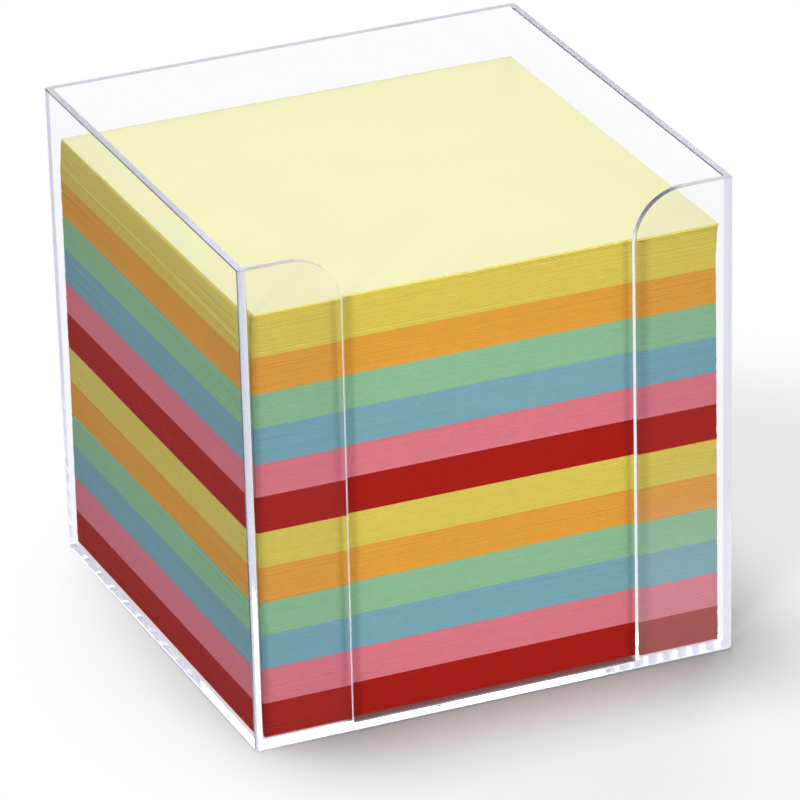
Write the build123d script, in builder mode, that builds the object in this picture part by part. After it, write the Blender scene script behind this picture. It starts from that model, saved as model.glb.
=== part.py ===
from build123d import *

import os
from math import cos, radians, sin, tan

# A clear desk memo box: an open-topped moulded tray that holds a stack of loose coloured slips.
# The front wall is cut away between two tabs, so that a finger can reach the slips.
# Millimetres. X runs along the front, Y from front to back, Z up.
# The origin is at the middle of the tray's underside.

# The slips of paper
slip_width = 90.0
slip_depth = 90.0
slip_thickness = 0.1
slip_air_gap = 0.018  # air between one loose slip and the next
pack_jog_share = 0.2  # how far a packed slip lies out of line, of the side clearance
loose_jog_share = 0.5  # the same for the loose slips on top
jog_turn = 137.5  # degrees from one slip's jog to the next

# How much of the stack each pack is, from the bottom to the top
pack_shares = {
    "red_slips_lower": 0.0815,
    "pink_slips_lower": 0.083,
    "blue_slips_lower": 0.0815,
    "green_slips_lower": 0.0785,
    "orange_slips_lower": 0.083,
    "yellow_slips_lower": 0.083,
    "red_slips_upper": 0.0845,
    "pink_slips_upper": 0.077,
    "blue_slips_upper": 0.0845,
    "green_slips_upper": 0.08,
    "orange_slips_upper": 0.0845,
    "yellow_slips_upper": 0.0885,
}
loose_slip_count = 8  # single slips that lie loose on the top pack

# The tray
tray_height = 94.0
headroom = 9.6  # from the top of the stack to the rim
wall = 1.5
floor = 1.8
side_clearance = 0.8  # from the slips to the walls, at the floor
draft_angle = 0.25  # degrees that every wall leans outwards, so that the moulding leaves its tool
corner_radius = 1.0  # outer upright edges
well_corner_radius = 0.3  # inner upright edges
base_radius = 0.6  # outer edges of the underside
rim_radius = 0.2  # edges of the rim and of the front opening

# The front opening, between the two tabs
tab_width = 19.5
tab_radius = 10.0  # rounded top corner of each tab

# The mark that the moulding gate leaves in the underside
gate_recess_diameter = 6.0
gate_recess_depth = 0.4
gate_stub_diameter = 2.0
gate_stub_height = 0.3

overrun = 1.0  # how far a cut runs past the face that it opens

# Sizes that follow from those
slip_pitch = slip_thickness + slip_air_gap
slip_count = round((tray_height - floor - headroom) / slip_pitch)
well_height = tray_height - floor
well_width = slip_width + 2 * side_clearance
well_depth = slip_depth + 2 * side_clearance
lean = tan(radians(draft_angle))
rim_width = well_width + 2 * (well_height * lean + wall)
rim_depth = well_depth + 2 * (well_height * lean + wall)
base_width = rim_width - 2 * tray_height * lean
base_depth = rim_depth - 2 * tray_height * lean
opening_half_width = rim_width / 2 - tab_width


def slip_plane(number, jog):
    """The plane that a slip lies on, counted from the bottom of the stack, a little out of line."""
    turn = radians(number * jog_turn)
    return Plane(origin=(jog * cos(turn), jog * sin(turn), floor + number * slip_pitch))


def write(piece, name):
    """Labels a finished piece and writes it to its own file."""
    piece.part.label = name
    export_step(piece.part, f"parts/{name}.step")


os.makedirs("parts", exist_ok=True)

# Clear tray: floor, back wall, side walls and two front tabs in one moulding
with BuildPart() as clear_tray:
    with BuildSketch():
        Rectangle(base_width, base_depth)
    extrude(amount=tray_height)
    draft(clear_tray.faces().filter_by(Axis.Z, reverse=True), Plane.XY, -draft_angle)

    # The well that the slips stand in
    well_floor = Plane.XY.offset(floor)
    with BuildSketch(well_floor):
        Rectangle(well_width, well_depth)
    extrude(amount=well_height, mode=Mode.SUBTRACT)
    draft(clear_tray.faces(Select.LAST).filter_by(Axis.Z, reverse=True), well_floor, draft_angle)

    # Round the upright edges, which lie between the floor and the rim, and then the underside
    _, _, corners, well_corners, _ = clear_tray.edges().group_by(Axis.Z)
    fillet(corners, corner_radius)
    fillet(well_corners, well_corner_radius)
    fillet(clear_tray.edges().group_by(Axis.Z)[0], base_radius)

    # The front opening runs from the rim down to the floor, and its top corners are rounded
    with BuildSketch(Plane.XZ.offset(slip_depth / 2)):
        with BuildLine():
            foot = Line((0, floor), (opening_half_width, floor))
            side = Line(foot @ 1, (opening_half_width, tray_height - tab_radius))
            shoulder = RadiusArc(side @ 1, (opening_half_width + tab_radius, tray_height), tab_radius)
            top = Line(shoulder @ 1, shoulder @ 1 + (0, overrun))
            Line(top @ 1, (0, tray_height + overrun))
            mirror(about=Plane.YZ)
        make_face()
    extrude(amount=side_clearance + rim_depth / 2 - well_depth / 2 + overrun, mode=Mode.SUBTRACT)

    # Soften the rim, the tabs and the sill between them
    rim = clear_tray.faces().sort_by(Axis.Z)[-1]
    level_edges = clear_tray.edges().filter_by(Axis.X)
    above_underside = level_edges.filter_by_position(Axis.Z, (base_radius + floor) / 2, tray_height / 2)
    sill = above_underside.sort_by(Axis.Y)[0]
    fillet(rim.edges().filter_by(Axis.X) + [sill], rim_radius)

    # The gate mark: a small stub inside a shallow round recess
    with BuildSketch():
        Circle(gate_recess_diameter / 2)
    extrude(amount=gate_recess_depth, mode=Mode.SUBTRACT)
    with BuildSketch(Plane.XY.offset(gate_recess_depth)):
        Circle(gate_stub_diameter / 2)
    extrude(amount=-gate_stub_height)
write(clear_tray, "clear_tray")

# Packs of slips, one colour each, stacked from the floor upwards
pack_jog = pack_jog_share * side_clearance
slips_below = 0
for name, share in pack_shares.items():
    count = round(share * slip_count)
    with BuildPart() as pack:
        with BuildSketch(*[slip_plane(slips_below + n, pack_jog) for n in range(count)]):
            Rectangle(slip_width, slip_depth)
        extrude(amount=slip_thickness)
    write(pack, name)
    slips_below += count

# Single loose slips on top of the stack
loose_jog = loose_jog_share * side_clearance
for n in range(loose_slip_count):
    with BuildPart() as slip:
        with BuildSketch(slip_plane(slips_below + n, loose_jog)):
            Rectangle(slip_width, slip_depth)
        extrude(amount=slip_thickness)
    write(slip, f"loose_slip_{n + 1}")
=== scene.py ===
"""Dresses a clear desk memo box: a moulded tray, and its stack of coloured slips."""

import logging
import math
import random
from dataclasses import dataclass, replace
from enum import Enum
from typing import Any

import bmesh
import bpy
from mathutils import Matrix, Vector


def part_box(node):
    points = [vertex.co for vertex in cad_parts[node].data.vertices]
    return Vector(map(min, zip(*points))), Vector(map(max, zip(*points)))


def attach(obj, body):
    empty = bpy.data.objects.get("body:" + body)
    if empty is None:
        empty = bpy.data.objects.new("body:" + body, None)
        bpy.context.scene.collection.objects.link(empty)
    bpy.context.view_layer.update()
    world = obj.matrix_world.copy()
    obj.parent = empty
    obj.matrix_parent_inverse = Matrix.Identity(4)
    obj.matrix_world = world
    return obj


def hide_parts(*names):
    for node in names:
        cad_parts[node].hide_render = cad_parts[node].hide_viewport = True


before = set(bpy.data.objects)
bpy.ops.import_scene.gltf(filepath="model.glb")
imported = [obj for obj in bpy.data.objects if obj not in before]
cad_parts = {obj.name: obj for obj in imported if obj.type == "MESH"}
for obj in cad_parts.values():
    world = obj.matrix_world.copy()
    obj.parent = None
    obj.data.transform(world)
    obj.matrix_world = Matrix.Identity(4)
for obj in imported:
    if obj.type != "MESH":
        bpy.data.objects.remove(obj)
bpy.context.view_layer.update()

LOG = logging.getLogger("memo_box")
MM = 0.001

# Attributes and maps that pieces carry and finishes read
CUT_EDGE = "cut_edge"
SLIP_TONE_AND_GLOW = "slip_tint"
TRAY_EDGE = "tray_edge"
TRAY_FLOOR = "tray_floor"
SLIP_MAP = "OFBake"

BOX_FACES = 6
LEAN_SHARE = 0.5  # how much of a normal lies along an axis, past which a slip's face belongs to it
FACING_SHARE = 0.9  # the same for a face of the tray
NO_RISE = 1e-6  # metres

# Light goes to and fro many times inside the plastic before it comes out
MOST_BOUNCES = 96
PLASTIC_BOUNCES = 64
CLEAR_BOUNCES = 24

RGB = tuple[float, float, float]
Spot = tuple[float, float, float]
WHITE: RGB = (1.0, 1.0, 1.0)


class PaperColour(Enum):
    """The dyes of the slips, each named as in the part's material slots."""

    RED = "red"
    PINK = "pink"
    BLUE = "blue"
    GREEN = "green"
    ORANGE = "orange"
    YELLOW = "yellow"

    @property
    def slot(self) -> str:
        """The material slot of this colour."""
        return f"{self.value}_paper"


class Value:
    """An output of a shader's node. Where it is a number, shader maths reads as plain arithmetic."""

    def __init__(self, tree: "ShaderTree", socket: bpy.types.NodeSocket) -> None:
        """Keeps the socket and the tree that it belongs to."""
        self.tree = tree
        self.socket = socket

    def _math(self, operation: str, first: Any, second: Any) -> "Value":
        """Adds one Math node.

        Args:
            operation: The node's operation.
            first: Its first number, a Value or a plain one.
            second: Its second number.

        Returns:
            The node's result.
        """
        return self.tree.value("ShaderNodeMath", {"operation": operation}, {0: first, 1: second})

    def __add__(self, other: Any) -> "Value":
        """The sum."""
        return self._math("ADD", self, other)

    __radd__ = __add__

    def __sub__(self, other: Any) -> "Value":
        """The difference."""
        return self._math("SUBTRACT", self, other)

    def __rsub__(self, other: Any) -> "Value":
        """The difference from a plain number."""
        return self._math("SUBTRACT", other, self)

    def __mul__(self, other: Any) -> "Value":
        """The product."""
        return self._math("MULTIPLY", self, other)

    __rmul__ = __mul__

    def __pow__(self, other: Any) -> "Value":
        """The power."""
        return self._math("POWER", self, other)

    def __rpow__(self, other: Any) -> "Value":
        """The power of a plain number."""
        return self._math("POWER", other, self)

    def __lt__(self, other: Any) -> "Value":
        """1 where this is less, and 0 elsewhere."""
        return self._math("LESS_THAN", self, other)

    def __gt__(self, other: Any) -> "Value":
        """1 where this is more, and 0 elsewhere."""
        return self._math("GREATER_THAN", self, other)

    def least(self, other: Any) -> "Value":
        """The smaller of the two."""
        return self._math("MINIMUM", self, other)

    def most(self, other: Any) -> "Value":
        """The larger of the two."""
        return self._math("MAXIMUM", self, other)


class ShaderTree:
    """A node tree of a material or the world, with one method that adds its nodes."""

    def __init__(self, owner: Any) -> None:
        """Empties the owner's node tree.

        Args:
            owner: A material or a world.
        """
        owner.use_nodes = True
        self.owner = owner
        self.tree = owner.node_tree
        self.tree.nodes.clear()

    def node(self, kind: str, settings: dict[str, Any] | None = None,
             inputs: dict[Any, Any] | None = None) -> bpy.types.Node:
        """Adds a node.

        Args:
            kind: The node's type.
            settings: Its own settings, set first.
            inputs: Numbers, colours, Values or sockets, by the name or the place of the input.

        Returns:
            The node.
        """
        node = self.tree.nodes.new(kind)
        for name, setting in (settings or {}).items():
            setattr(node, name, setting)
        for key, given in (inputs or {}).items():
            socket = node.inputs[key]
            if isinstance(given, Value):
                given = given.socket
            if isinstance(given, bpy.types.NodeSocket):
                self.tree.links.new(given, socket)
            elif isinstance(given, tuple) and len(given) == 3 and socket.type == "RGBA":
                socket.default_value = (*given, 1.0)
            else:
                socket.default_value = given
        return node

    def value(self, kind: str, settings: dict[str, Any] | None = None,
              inputs: dict[Any, Any] | None = None, output: Any = 0) -> Value:
        """Adds a node and gives one of its outputs.

        Args:
            kind: The node's type.
            settings: Its own settings.
            inputs: What its sockets take.
            output: The name or the place of the output.

        Returns:
            The output, ready for arithmetic.
        """
        return Value(self, self.node(kind, settings, inputs).outputs[output])

    def outputs(self, node: bpy.types.Node, *keys: Any) -> list[Value]:
        """Several outputs of a node, by their names or places."""
        return [Value(self, node.outputs[key]) for key in keys]

    def point(self) -> Value:
        """The point on the surface, in Object coordinates."""
        return self.value("ShaderNodeTexCoord", output="Object")

    def attribute(self, name: str) -> Value:
        """An attribute of the mesh."""
        return self.value("ShaderNodeAttribute", {"attribute_name": name}, output="Fac")

    def mix(self, share: Any, first: Any, second: Any, blend: str = "MIX") -> Value:
        """Mixes two colours.

        Args:
            share: How much of the second colour is taken.
            first: The first colour.
            second: The second colour.
            blend: How they blend.

        Returns:
            The mixed colour.
        """
        settings = {"data_type": "RGBA", "blend_type": blend}
        return self.value("ShaderNodeMix", settings, {0: share, 6: first, 7: second}, 2)

    def mix_shaders(self, share: Value, first: Value, second: Value) -> Value:
        """Mixes two shaders.

        Args:
            share: How much of the second shader is taken.
            first: The first shader.
            second: The second shader.

        Returns:
            The mixed shader.
        """
        return self.value("ShaderNodeMixShader", None, {0: share, 1: first, 2: second})

    def noise(self, place: Value, scale: float, detail: float = 2.0,
              roughness: float = 0.5) -> Value:
        """A soft random number over the surface.

        Args:
            place: The point that it is read at.
            scale: How many of its bumps lie along a metre.
            detail: How many finer layers it has.
            roughness: How strong the finer layers are.

        Returns:
            A number around one half.
        """
        inputs = {"Vector": place, "Scale": scale, "Detail": detail, "Roughness": roughness}
        return self.value("ShaderNodeTexNoise", {"noise_dimensions": "3D"}, inputs)

    def ramp(self, number: Value, start: float, end: float) -> Value:
        """A soft step.

        Args:
            number: What it follows.
            start: Where it leaves 0.
            end: Where it reaches 1.

        Returns:
            A number from 0 to 1.
        """
        inputs = {"Value": number, "From Min": start, "From Max": end}
        return self.value("ShaderNodeMapRange", {"interpolation_type": "SMOOTHSTEP"}, inputs)

    def bump(self, height: Value, strength: float, distance: float) -> Value:
        """Turns a height into a normal.

        Args:
            height: The height, from 0 to 1.
            strength: How much of it shows.
            distance: How high 1 is, in metres.

        Returns:
            The normal.
        """
        inputs = {"Strength": strength, "Distance": distance, "Height": height}
        return self.value("ShaderNodeBump", None, inputs)


@dataclass(frozen=True)
class PaperFinish:
    """Uncoated dyed note paper, with deeper colour on its cut edges than on its faces, partly the
    dye's own and partly painted shade and bounced colour between the sheets.

    A slip's tint is a number from 0 to 1, or from 1 to 2 where its cut edge has a painted glow,
    standing in for light let through the slip.
    """

    colour: PaperColour
    face: RGB
    edge: RGB
    painted_glow: RGB = (0.97, 0.79, 0.008)
    fibre_scale: float = 900.0
    fibre_shade: float = 0.08
    cloud_scale: float = 60.0
    cloud_shade: float = 0.05
    streak_stretch: Spot = (3.0, 3.0, 2600.0)
    streak_shade: float = 0.045
    slip_shade: float = 0.05
    rough: float = 0.82
    rough_fibre: float = 0.14
    specular: float = 0.1
    tooth_strength: float = 0.12
    tooth_height: float = 0.0001

    def material(self) -> bpy.types.Material:
        """Makes the paper.

        Returns:
            The material.
        """
        tree = ShaderTree(bpy.data.materials.new(f"{self.colour.value}_note_paper"))
        point = tree.point()
        cut_edge = tree.attribute(CUT_EDGE)
        tint = tree.attribute(SLIP_TONE_AND_GLOW)
        inputs = {"Vector": point, "Scale": self.streak_stretch}
        stretched = tree.value("ShaderNodeMapping", None, inputs)
        fibres = tree.noise(point, self.fibre_scale, detail=3.0, roughness=0.6)
        clouds = tree.noise(point, self.cloud_scale)
        streaks = tree.noise(stretched, 1.0, roughness=0.6)

        # Painted glow: where a slip's tint passes 1, its cut edge turns brighter and deeper,
        # standing in for light let through the slip; the tint's share in the edge's shade brightens
        # it further
        edge_with_painted_glow = tree.mix((tint - 1.0).most(0.0), self.edge, self.painted_glow)
        # Cut edges take the deeper edge colour: partly the dye's own, partly painted shade and
        # bounced colour between the sheets
        base = tree.mix(cut_edge, self.face, edge_with_painted_glow)
        fibre_part = (fibres - 0.5) * self.fibre_shade
        on_face = fibre_part + (clouds - 0.5) * self.cloud_shade
        on_edge = (streaks - 0.5) * self.streak_shade + fibre_part + (tint - 0.5) * self.slip_shade
        shade = 1.0 + on_face + cut_edge * on_edge
        grey = tree.value("ShaderNodeCombineColor", None, {0: shade, 1: shade, 2: shade})
        shader = tree.value("ShaderNodeBsdfPrincipled", None, {
            "Base Color": tree.mix(1.0, base, grey, "MULTIPLY"),
            "Roughness": self.rough + self.rough_fibre * fibres,
            "Specular IOR Level": self.specular,
            "Normal": tree.bump(fibres, self.tooth_strength, self.tooth_height),
        })
        tree.node("ShaderNodeOutputMaterial", None, {"Surface": shader})
        return tree.owner


@dataclass(frozen=True)
class ClearPlasticFinish:
    """Polished crystal polystyrene, faintly lavender through its length, with haze and wave.

    The walls mirror less than plain plastic does, by the power calm, and the tray's floor mirrors
    more than plain plastic, a painted reflection. One tab mirrors a little more near the floor, also
    a painted reflection. Rounded and narrow faces are a little frosted, and let less lamp light
    through.
    """

    tint: RGB = (0.985, 0.985, 0.995)
    ior: float = 1.5
    calm: float = 3.0
    ledge_painted_reflection_calm: float = 0.55
    veil: float = 0.005
    tab_painted_reflection: float = 0.04
    tab_side: float = 28.0 * MM
    tab_front: float = -45.5 * MM
    tab_low: float = 18.0 * MM
    tab_high: float = 44.0 * MM
    rough: float = 0.012
    haze_scale: float = 240.0
    rough_haze: float = 0.03
    edge_frost: float = 0.2
    wave_scale: float = 26.0
    wave_strength: float = 0.05
    wave_height: float = 0.0004
    depth_tint: RGB = (0.76, 0.77, 0.885)
    depth_density: float = 9.0
    wall_lamp_tint: RGB = (0.96, 0.96, 0.965)
    edge_lamp_tint: RGB = (0.3, 0.3, 0.33)

    def material(self) -> bpy.types.Material:
        """Makes the clear plastic.

        Returns:
            The material.
        """
        tree = ShaderTree(bpy.data.materials.new("clear_polystyrene"))
        point = tree.point()
        on_edge = tree.attribute(TRAY_EDGE)
        wave = tree.noise(point, self.wave_scale, detail=1.0)
        haze = tree.noise(point, self.haze_scale, detail=3.0, roughness=0.6)
        surface = {
            "Roughness": self.rough + self.rough_haze * haze + self.edge_frost * on_edge,
            "Normal": tree.bump(wave, self.wave_strength, self.wave_height),
        }
        bent = tree.value("ShaderNodeBsdfRefraction", None,
                          {"Color": self.tint, "IOR": self.ior, **surface})
        mirrored = tree.value("ShaderNodeBsdfGlossy", None, {"Color": WHITE, **surface})
        solid = tree.mix_shaders(self._mirror_share(tree, point, surface["Normal"]), bent, mirrored)

        # Rays that only carry light pass straight through, so that lamps light the slips
        path = tree.node("ShaderNodeLightPath")
        shadow, diffuse = tree.outputs(path, "Is Shadow Ray", "Is Diffuse Ray")
        carries_light = shadow.most(diffuse)
        through_edge = tree.value("ShaderNodeBsdfTransparent", None, {"Color": self.edge_lamp_tint})
        through_wall = tree.value("ShaderNodeBsdfTransparent", None, {"Color": self.wall_lamp_tint})
        edges = tree.mix_shaders(carries_light * on_edge, solid, through_edge)
        both = tree.mix_shaders(carries_light * (1.0 - on_edge), edges, through_wall)
        depth = tree.value("ShaderNodeVolumeAbsorption", None,
                           {"Color": self.depth_tint, "Density": self.depth_density})
        tree.node("ShaderNodeOutputMaterial", None, {"Surface": both, "Volume": depth})
        return tree.owner

    def _mirror_share(self, tree: ShaderTree, point: Value, normal: Value) -> Value:
        """How much of what is seen is mirrored, and not seen through the plastic.

        Args:
            tree: The plastic's tree.
            point: The point on the surface.
            normal: The surface's normal, with its wave.

        Returns:
            The share, from 0 to 1.
        """
        fresnel = tree.value("ShaderNodeFresnel", None, {"IOR": self.ior, "Normal": normal})
        ledge = tree.attribute(TRAY_FLOOR)
        parts = tree.node("ShaderNodeSeparateXYZ", None, {0: point})
        across, along, up = tree.outputs(parts, 0, 1, 2)
        # Painted reflection: one tab mirrors more towards the floor, standing in for bright
        # surroundings
        on_tab = (across > self.tab_side) * (along < self.tab_front)
        painted_tab_reflection = on_tab * (1.0 - tree.ramp(up, self.tab_low, self.tab_high)) * self.tab_painted_reflection
        # Painted reflection: the tray's floor takes a power below 1, so it mirrors more than plain
        # plastic
        power = self.calm - (self.calm - self.ledge_painted_reflection_calm) * ledge
        return (fresnel ** power).most(painted_tab_reflection + self.veil)


# Each paper's colour on its faces, and on its cut edges, whose deeper colour is partly the dye's own
# and partly painted shade and bounced colour between the sheets
FINISHES = {
    colour: PaperFinish(colour, face, edge)
    for colour, face, edge in (
        (PaperColour.RED, (0.60, 0.07, 0.055), (0.50, 0.0135, 0.008)),
        (PaperColour.PINK, (0.90, 0.46, 0.50), (0.91, 0.24, 0.30)),
        (PaperColour.BLUE, (0.46, 0.68, 0.75), (0.24, 0.50, 0.58)),
        (PaperColour.GREEN, (0.56, 0.80, 0.58), (0.34, 0.64, 0.38)),
        (PaperColour.ORANGE, (0.93, 0.60, 0.24), (0.96, 0.45, 0.055)),
        (PaperColour.YELLOW, (0.90, 0.88, 0.53), (0.89, 0.71, 0.10)),
    )
}


def new_object(name: str, mesh: bmesh.types.BMesh) -> bpy.types.Object:
    """Turns a finished mesh into an object of the scene.

    Args:
        name: The object's name.
        mesh: Its shape, in place. It is freed.

    Returns:
        The object, at the origin.
    """
    data = bpy.data.meshes.new(name)
    mesh.to_mesh(data)
    mesh.free()
    made = bpy.data.objects.new(name, data)
    bpy.context.scene.collection.objects.link(made)
    return made


def new_piece(name: str, mesh: bmesh.types.BMesh, body: str, slot: str,
              *nodes: str) -> bpy.types.Object:
    """Turns a finished mesh into a piece of the memo box.

    Args:
        name: The piece's name.
        mesh: Its shape, in place. It is freed.
        body: The part's body that it moves with.
        slot: The material slot that its finish stands for; not used.
        nodes: The part's nodes that it stands for.

    Returns:
        The piece.
    """
    piece = new_object(name, mesh)
    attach(piece, body)
    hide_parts(*nodes)
    return piece


def away_from(azimuth: float, elevation: float) -> Vector:
    """The way from the object towards a place around it.

    Args:
        azimuth: The place's angle in degrees, from the front towards the right.
        elevation: Its angle above the floor, in degrees.

    Returns:
        The way, one metre long.
    """
    turn, rise = math.radians(azimuth), math.radians(elevation)
    level = math.cos(rise)
    return Vector((math.sin(turn) * level, -math.cos(turn) * level, math.sin(rise)))


@dataclass
class SlipSizes:
    """What all the slips share, in metres."""

    width: float = 90.0 * MM
    depth: float = 90.0 * MM
    thickness: float = 0.1 * MM
    pitch: float = 0.118 * MM
    room: float = 0.7 * MM

    def place(self, across: float, along: float, up: float, turn: float) -> Matrix:
        """Where a slip lies.

        Args:
            across: Its middle's place along X.
            along: Its middle's place along Y.
            up: Its middle's height.
            turn: Its turn about the upright axis, in radians.

        Returns:
            The transform that makes a unit cube that slip.
        """
        moved = Matrix.Translation((across, along, up)) @ Matrix.Rotation(turn, 4, "Z")
        return moved @ Matrix.Diagonal((self.width, self.depth, self.thickness, 1.0))


def on_cut_edge(face: bmesh.types.BMFace) -> bool:
    """Whether a slip's face is one of its cut edges."""
    return abs(face.normal.z) < LEAN_SHARE


@dataclass(frozen=True)
class SlipMap:
    """How slips lie on their UV map: cut edges in four bands below, faces and undersides above.

    Each edge gets a row of its own, so that it stays wider than a pixel when the map is painted.
    """

    sizes: SlipSizes
    rows: int = 1
    bands: int = 4
    edge_share: float = 0.5
    margin: float = 0.01

    def lay(self, face: bmesh.types.BMFace, layer: bmesh.types.BMLayerItem, row: int) -> None:
        """Places one face of a slip on the map.

        Args:
            face: The face, with its normal up to date.
            layer: The UV layer.
            row: The slip's number in its pack.
        """
        normal, middle = face.normal, face.calc_center_median()
        back, right, left = normal.y > LEAN_SHARE, normal.x > LEAN_SHARE, normal.x < -LEAN_SHARE
        band = back + 2 * right + 3 * left
        for loop in face.loops:
            place = loop.vert.co
            across = self._within(place.x / self.sizes.width + 0.5)
            along = self._within(place.y / self.sizes.depth + 0.5)
            if on_cut_edge(face):
                run = along if left or right else across
                height = self._within((row + (place.z > middle.z)) / self.rows)
                loop[layer].uv = (run, (band + height) / self.bands * self.edge_share)
            else:
                rise = self.edge_share + along * (1.0 - self.edge_share)
                loop[layer].uv = ((across + (normal.z < 0)) / 2, rise)

    def _within(self, share: float) -> float:
        """Keeps a share of the way across inside its region's margin."""
        return self.margin + (1.0 - 2 * self.margin) * min(1.0, max(0.0, share))


@dataclass
class SlipPack:
    """A run of loose slips of one colour, in small lots that lie a little out of line."""

    node: str
    colour: PaperColour
    seed: int
    sizes: SlipSizes
    fewest_in_lot: int = 4
    most_in_lot: int = 11
    lot_jog: float = 0.022 * MM
    slip_jog: float = 0.011 * MM
    turn: float = 0.0008
    drift: float = 0.0

    def build(self) -> bpy.types.Object:
        """Stacks the slips.

        Returns:
            The pack.
        """
        low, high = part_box(self.node)
        sizes = self.sizes
        count = round((high.z - low.z + sizes.pitch - sizes.thickness) / sizes.pitch)
        draw = random.Random(self.seed)
        mesh = bmesh.new()
        edge = mesh.faces.layers.float.new(CUT_EDGE)
        tint = mesh.faces.layers.float.new(SLIP_TONE_AND_GLOW)
        layer = mesh.loops.layers.uv.new(SLIP_MAP)
        slip_map = SlipMap(sizes, count)
        left_in_lot = 0
        lot = Vector((0.0, 0.0))
        for number in range(count):
            if left_in_lot == 0:
                left_in_lot = draw.randint(self.fewest_in_lot, self.most_in_lot)
                lot = Vector((draw.gauss(0, self.lot_jog), draw.gauss(0, self.lot_jog)))
            left_in_lot -= 1
            jog = lot + Vector((draw.gauss(0, self.slip_jog), draw.gauss(0, self.slip_jog)))
            jog.x += self.drift * (number / count) ** 2
            across, along = (max(-sizes.room, min(sizes.room, shift)) for shift in jog)
            middle = low.z + number * sizes.pitch + sizes.pitch / 2
            place = sizes.place(across, along, middle, draw.gauss(0, self.turn))
            made = bmesh.ops.create_cube(mesh, size=1.0, matrix=place)
            shade = draw.random()
            for face in {f for v in made["verts"] for f in v.link_faces}:
                face[tint] = shade
        for number, face in enumerate(mesh.faces):
            face.normal_update()
            face[edge] = float(on_cut_edge(face))
            slip_map.lay(face, layer, number // BOX_FACES)
        return new_piece(f"{self.node}_sheets", mesh, self.node, self.colour.slot, self.node)

    def dress(self, piece: bpy.types.Object, finish: bpy.types.Material) -> None:
        """Gives the pack its paper."""
        piece.data.materials.append(finish)


@dataclass
class LooseSlip:
    """A single slip on top of the stack, with a slight curl at its front."""

    node: str
    number: int
    across: float
    along: float
    turn: float
    painted_glow: float
    sizes: SlipSizes
    cells: int = 30
    curl: float = 0.03 * MM
    curl_start_share: float = 0.15
    left_curl_share: float = 0.45

    def build(self) -> bpy.types.Object:
        """Cuts the slip, curls it and gives it its thickness.

        Returns:
            The slip.
        """
        low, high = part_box(self.node)
        sizes = self.sizes
        mesh = bmesh.new()
        edge = mesh.faces.layers.float.new(CUT_EDGE)
        tint = mesh.faces.layers.float.new(SLIP_TONE_AND_GLOW)
        layer = mesh.loops.layers.uv.new(SLIP_MAP)
        slip_map = SlipMap(sizes)
        place = sizes.place(self.across, self.along, (low.z + high.z) / 2, self.turn)
        bmesh.ops.create_cube(mesh, size=1.0, matrix=place)
        level = [e for e in mesh.edges if abs(e.verts[0].co.z - e.verts[1].co.z) < NO_RISE]
        bmesh.ops.subdivide_edges(mesh, edges=level, cuts=self.cells, use_grid_fill=True)
        start, left = self.curl_start_share, self.left_curl_share
        for vert in mesh.verts:
            forward = max(0.0, start - vert.co.y / sizes.depth) / (start + 0.5)
            side = left + (1.0 - left) * (vert.co.x / sizes.width + 0.5)
            vert.co.z += self.number * self.curl * forward ** 2 * side
        for face in mesh.faces:
            face.normal_update()
            face[edge] = float(on_cut_edge(face))
            # A tint past 1 gives this slip's cut edges a painted glow, standing in for light let
            # through it
            face[tint] = 1.0 + self.painted_glow
            slip_map.lay(face, layer, 0)
        slot = PaperColour.YELLOW.slot
        return new_piece(f"{self.node}_sheet", mesh, self.node, slot, self.node)

    def dress(self, piece: bpy.types.Object, finish: bpy.types.Material) -> None:
        """Gives the slip its paper."""
        piece.data.materials.append(finish)


# How each loose slip lies, from the lowest to the top one: across and along in millimetres,
# its turn in radians, and how much painted glow its cut edges take, standing in for light let
# through
LOOSE_SLIPS = (
    (0.36, 0.05, 0.0003, 0.0),
    (0.40, -0.05, -0.0004, 0.2),
    (0.38, 0.08, 0.0008, 0.0),
    (0.46, -0.10, -0.0006, 0.6),
    (0.42, 0.04, 0.0012, 0.3),
    (0.52, -0.12, 0.0004, 1.0),
    (0.50, -0.30, 0.0016, 1.0),
    (0.58, -0.04, 0.0010, 1.0),
)


@dataclass
class PaperStack:
    """All the slips in the tray: two runs of six colours, and the loose ones on top."""

    sizes: SlipSizes
    first_seed: int = 11
    top_pack: str = "yellow_slips_upper"
    top_jog: float = 0.02 * MM
    top_drift: float = 0.35 * MM

    def build(self) -> list[bpy.types.Object]:
        """Builds and dresses every pack and every loose slip.

        Returns:
            The pieces, from the bottom to the top.
        """
        papers = {colour: finish.material() for colour, finish in FINISHES.items()}
        pieces = []
        for tier in ("lower", "upper"):
            for colour in PaperColour:
                node = f"{colour.value}_slips_{tier}"
                pack = SlipPack(node, colour, self.first_seed + len(pieces), self.sizes)
                if node == self.top_pack:
                    pack = replace(pack, lot_jog=self.top_jog, drift=self.top_drift)
                piece = pack.build()
                pack.dress(piece, papers[colour])
                pieces.append(piece)
        for number, (across, along, turn, painted_glow) in enumerate(LOOSE_SLIPS, 1):
            node = f"loose_slip_{number}"
            slip = LooseSlip(node, number, across * MM, along * MM, turn, painted_glow, self.sizes)
            piece = slip.build()
            slip.dress(piece, papers[PaperColour.YELLOW])
            pieces.append(piece)
        return pieces


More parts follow.
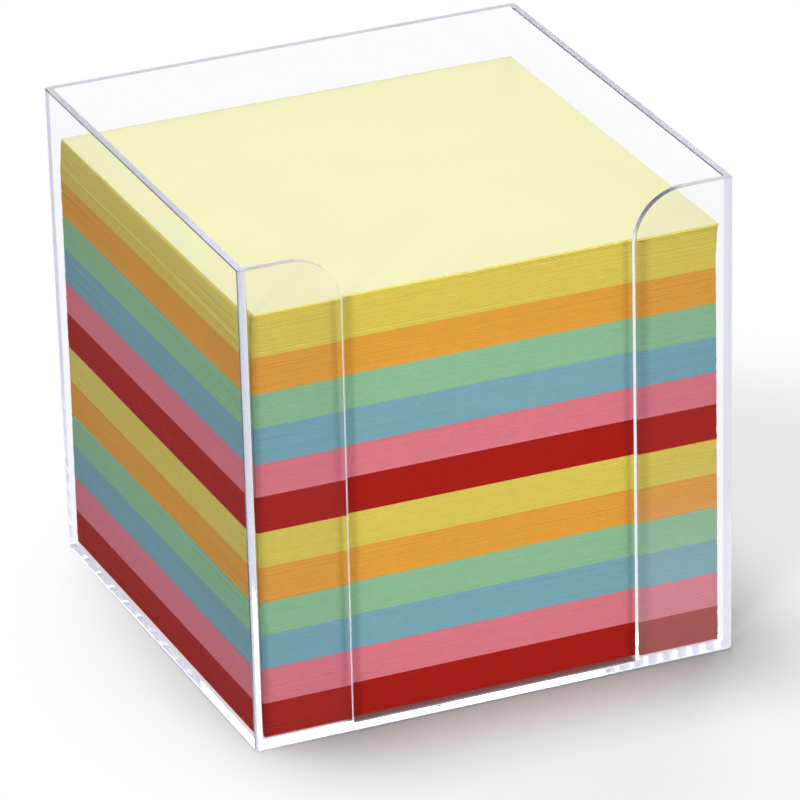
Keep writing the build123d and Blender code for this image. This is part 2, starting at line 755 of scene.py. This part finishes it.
@dataclass
class ClearTray:
    """The moulded tray, in the part's own shape, with its narrow faces and its floor marked."""

    node: str = "clear_tray"
    body: str = "tray"
    weld: float = 0.002 * MM
    flat_share: float = 0.9995
    tab_end_share: float = 0.8
    seam_angle: float = 30.0
    finish: ClearPlasticFinish = ClearPlasticFinish()

    def build(self) -> bpy.types.Object:
        """Welds a copy of the part's tray and marks its faces.

        Returns:
            The tray.
        """
        mesh = bmesh.new()
        mesh.from_mesh(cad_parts[self.node].data)
        bmesh.ops.remove_doubles(mesh, verts=mesh.verts, dist=self.weld)
        edge = mesh.faces.layers.float.new(TRAY_EDGE)
        floor = mesh.faces.layers.float.new(TRAY_FLOOR)
        _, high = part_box(self.node)
        for face in mesh.faces:
            face.normal_update()
            in_lower_half = face.calc_center_median().z < high.z / 2
            face[edge] = float(self._narrow(face, high))
            face[floor] = float(face.normal.z > FACING_SHARE and in_lower_half)
            face.smooth = True
        for seam in mesh.edges:
            seam.smooth = seam.calc_face_angle(0.0) < math.radians(self.seam_angle)
        tray = new_piece("clear_tray_moulding", mesh, self.body, "clear_plastic", self.node)
        tray.modifiers.new("even_shading", "WEIGHTED_NORMAL").keep_sharp = True
        return tray

    def _narrow(self, face: bmesh.types.BMFace, high: Vector) -> bool:
        """Whether a face is on a rounded edge, the rim or the end of a tab.

        Args:
            face: The face.
            high: The tray's highest corner.

        Returns:
            True on the narrow faces, False on the walls and the floor.
        """
        lean = [abs(n) for n in face.normal]
        middle = face.calc_center_median()
        if max(lean) < self.flat_share:
            return True
        on_rim = lean[2] > FACING_SHARE and middle.z > high.z / 2
        on_tab_end = lean[0] > FACING_SHARE and abs(middle.x) < self.tab_end_share * high.x
        return on_rim or on_tab_end

    def dress(self, tray: bpy.types.Object) -> None:
        """Gives the tray its clear plastic."""
        tray.data.materials.clear()
        tray.data.materials.append(self.finish.material())


def ray_kinds(tree: ShaderTree) -> tuple[Value, Value]:
    """Tells the rays that show the surroundings to the camera from those that only carry light.

    Args:
        tree: The tree that reads them.

    Returns:
        1 for rays straight from the camera, and 1 for rays by way of gloss and clear plastic.
    """
    path = tree.node("ShaderNodeLightPath")
    camera, glossy, through, bounced = tree.outputs(
        path, "Is Camera Ray", "Is Glossy Ray", "Is Transmission Ray", "Diffuse Depth")
    return camera, glossy.most(through) * (bounced < 1.0)


@dataclass
class SoftLamp:
    """A square soft box that faces the middle of the object.

    Its angles are in degrees, its distance and size in metres and its power in watts.
    """

    name: str
    azimuth: float
    elevation: float
    distance: float
    size: float
    power: float
    aim: Spot = (0.0, 0.0, 50.0 * MM)

    def build(self) -> bpy.types.Object:
        """Hangs the lamp.

        Returns:
            The lamp.
        """
        data = bpy.data.lights.new(self.name, "AREA")
        data.size = self.size
        data.energy = self.power
        lamp = bpy.data.objects.new(self.name, data)
        away = away_from(self.azimuth, self.elevation)
        lamp.location = Vector(self.aim) + away * self.distance
        lamp.rotation_euler = away.to_track_quat("Z", "Y").to_euler()
        lamp.visible_camera = False
        bpy.context.scene.collection.objects.link(lamp)
        return lamp


LAMPS = (
    SoftLamp("top_lamp", -150.0, 82.0, 1.2, 0.4, 8.1),
    SoftLamp("left_lamp", -47.0, 14.0, 1.3, 0.2, 6.0),
    SoftLamp("front_lamp", 22.0, 9.0, 1.4, 0.6, 7.0),
    SoftLamp("back_lamp", 150.0, 20.0, 1.4, 0.5, 4.5),
)


@dataclass
class Studio:
    """A pale floor, soft light and white surroundings.

    The stand and the sill are the two places under the tray where the floor stays grey, a painted
    shade on top of the tray's real shadow. Each says half its width, half its depth and how far
    forward it lies.
    """

    floor_size: float = 40.0
    floor_drop: float = 0.1 * MM
    floor_pale: RGB = (0.34, 0.34, 0.345)
    floor_seen: RGB = (0.90, 0.925, 0.93)
    floor_painted_shade: RGB = (0.5, 0.5, 0.5)
    shade_shift: Spot = (-0.045, 0.02, 0.0)
    shade_near: float = 0.075
    shade_far: float = 0.125
    stand: Spot = (43.5 * MM, 43.5 * MM, 0.0)
    sill: Spot = (28.8 * MM, 44.75 * MM, 1.25 * MM)
    blur: float = 1.0 * MM
    sky_light: float = 0.25

    def build(self) -> None:
        """Lays the floor and sets the light."""
        self._floor()
        self._sky()
        for lamp in LAMPS:
            lamp.build()

    def _floor(self) -> None:
        """Lays the floor, which keeps the object's shadow and is white around it."""
        mesh = bmesh.new()
        bmesh.ops.create_grid(mesh, x_segments=1, y_segments=1, size=self.floor_size / 2)
        bmesh.ops.translate(mesh, verts=mesh.verts, vec=(0.0, 0.0, -self.floor_drop))
        floor = new_object("studio_floor", mesh)
        floor.data.materials.append(self._floor_paint())

    def _floor_paint(self) -> bpy.types.Material:
        """Makes the floor's paint.

        Returns:
            The material.
        """
        tree = ShaderTree(bpy.data.materials.new("studio_floor_paint"))
        point = tree.point()
        parts = tree.node("ShaderNodeSeparateXYZ", None, {0: point})
        outside = self._past(tree, parts, self.stand).least(self._past(tree, parts, self.sill))
        inputs = {0: point, 1: self.shade_shift}
        moved = tree.value("ShaderNodeVectorMath", {"operation": "ADD"}, inputs)
        reach = tree.value("ShaderNodeVectorMath", {"operation": "LENGTH"}, {0: moved}, "Value")
        far = tree.ramp(reach, self.shade_near, self.shade_far)
        straight, turned = ray_kinds(tree)
        # Painted shade: under the tray, camera rays and rays through the plastic see a greyer floor
        shown = tree.mix(outside, self.floor_painted_shade, self.floor_seen)
        paint = tree.value("ShaderNodeBsdfPrincipled", None, {
            "Base Color": tree.mix(straight.most(turned), self.floor_pale, shown),
            "Roughness": 1.0,
            "Specular IOR Level": 0.0,
        })
        white = tree.value("ShaderNodeEmission", None, {"Color": WHITE, "Strength": 1.0})
        both = tree.mix_shaders((straight * far).most(turned) * outside, paint, white)
        tree.node("ShaderNodeOutputMaterial", None, {"Surface": both})
        return tree.owner

    def _past(self, tree: ShaderTree, parts: bpy.types.Node, spot: Spot) -> Value:
        """Tells the floor outside a rectangle under the tray from the floor inside it.

        Args:
            tree: The floor's tree.
            parts: The node that gives X and Y.
            spot: Half the rectangle's width and depth, and how far forward it lies.

        Returns:
            0 inside the rectangle and 1 outside, with a soft border.
        """
        half_width, half_depth, forward = spot
        across, along = tree.outputs(parts, 0, 1)
        sides = [
            tree.ramp(place.most(-1.0 * place), half - self.blur, half + self.blur)
            for place, half in ((across, half_width), (along + forward, half_depth))
        ]
        return sides[0].most(sides[1])

    def _sky(self) -> None:
        """Sets the even light from all round, which shows as white."""
        world = bpy.data.worlds.new("studio_surroundings")
        bpy.context.scene.world = world
        tree = ShaderTree(world)
        straight, turned = ray_kinds(tree)
        strength = self.sky_light + (1.0 - self.sky_light) * straight.most(turned)
        inputs = {"Color": WHITE, "Strength": strength}
        light = tree.value("ShaderNodeBackground", None, inputs)
        tree.node("ShaderNodeOutputWorld", None, {"Surface": light})


@dataclass
class PhotoCamera:
    """The camera of the photograph, in the object's frame."""

    azimuth: float = -22.76
    elevation: float = 24.61
    roll: float = -1.48
    distance: float = 1.2977
    across: float = 1.0 * MM
    above: float = 36.7 * MM
    focal_pixels: float = 6939.5
    frame_pixels: float = 800.0
    sensor: float = 36.0
    clip_start: float = 0.01
    clip_end: float = 100.0

    def build(self) -> bpy.types.Object:
        """Sets up the camera.

        Returns:
            The camera.
        """
        back = away_from(self.azimuth, self.elevation)
        turn, roll = math.radians(self.azimuth), math.radians(self.roll)
        level = Vector((math.cos(turn), math.sin(turn), 0.0))
        upright = back.cross(level)
        right = level * math.cos(roll) + upright * math.sin(roll)
        up = upright * math.cos(roll) - level * math.sin(roll)
        data = bpy.data.cameras.new("photo_camera")
        data.sensor_width = self.sensor
        data.lens = self.focal_pixels / self.frame_pixels * self.sensor
        data.clip_start = self.clip_start
        data.clip_end = self.clip_end
        camera = bpy.data.objects.new("photo_camera", data)
        place = Matrix((right, up, back)).transposed().to_4x4()
        place.translation = back * self.distance + right * self.across + up * self.above
        camera.matrix_world = place
        bpy.context.scene.collection.objects.link(camera)
        bpy.context.scene.camera = camera
        return camera


def main() -> None:
    """Builds the scene and reports each piece."""
    logging.basicConfig(level=logging.INFO, format="%(name)s: %(message)s")
    scene = bpy.context.scene
    scene.view_settings.view_transform = "Standard"
    scene.cycles.max_bounces = MOST_BOUNCES
    scene.cycles.glossy_bounces = PLASTIC_BOUNCES
    scene.cycles.transmission_bounces = PLASTIC_BOUNCES
    scene.cycles.transparent_max_bounces = CLEAR_BOUNCES
    PhotoCamera().build()
    Studio().build()
    moulding = ClearTray()
    tray = moulding.build()
    moulding.dress(tray)
    for piece in (tray, *PaperStack(SlipSizes()).build()):
        LOG.info("%s: %d faces", piece.name, len(piece.data.polygons))


if __name__ == "__main__":
    main()
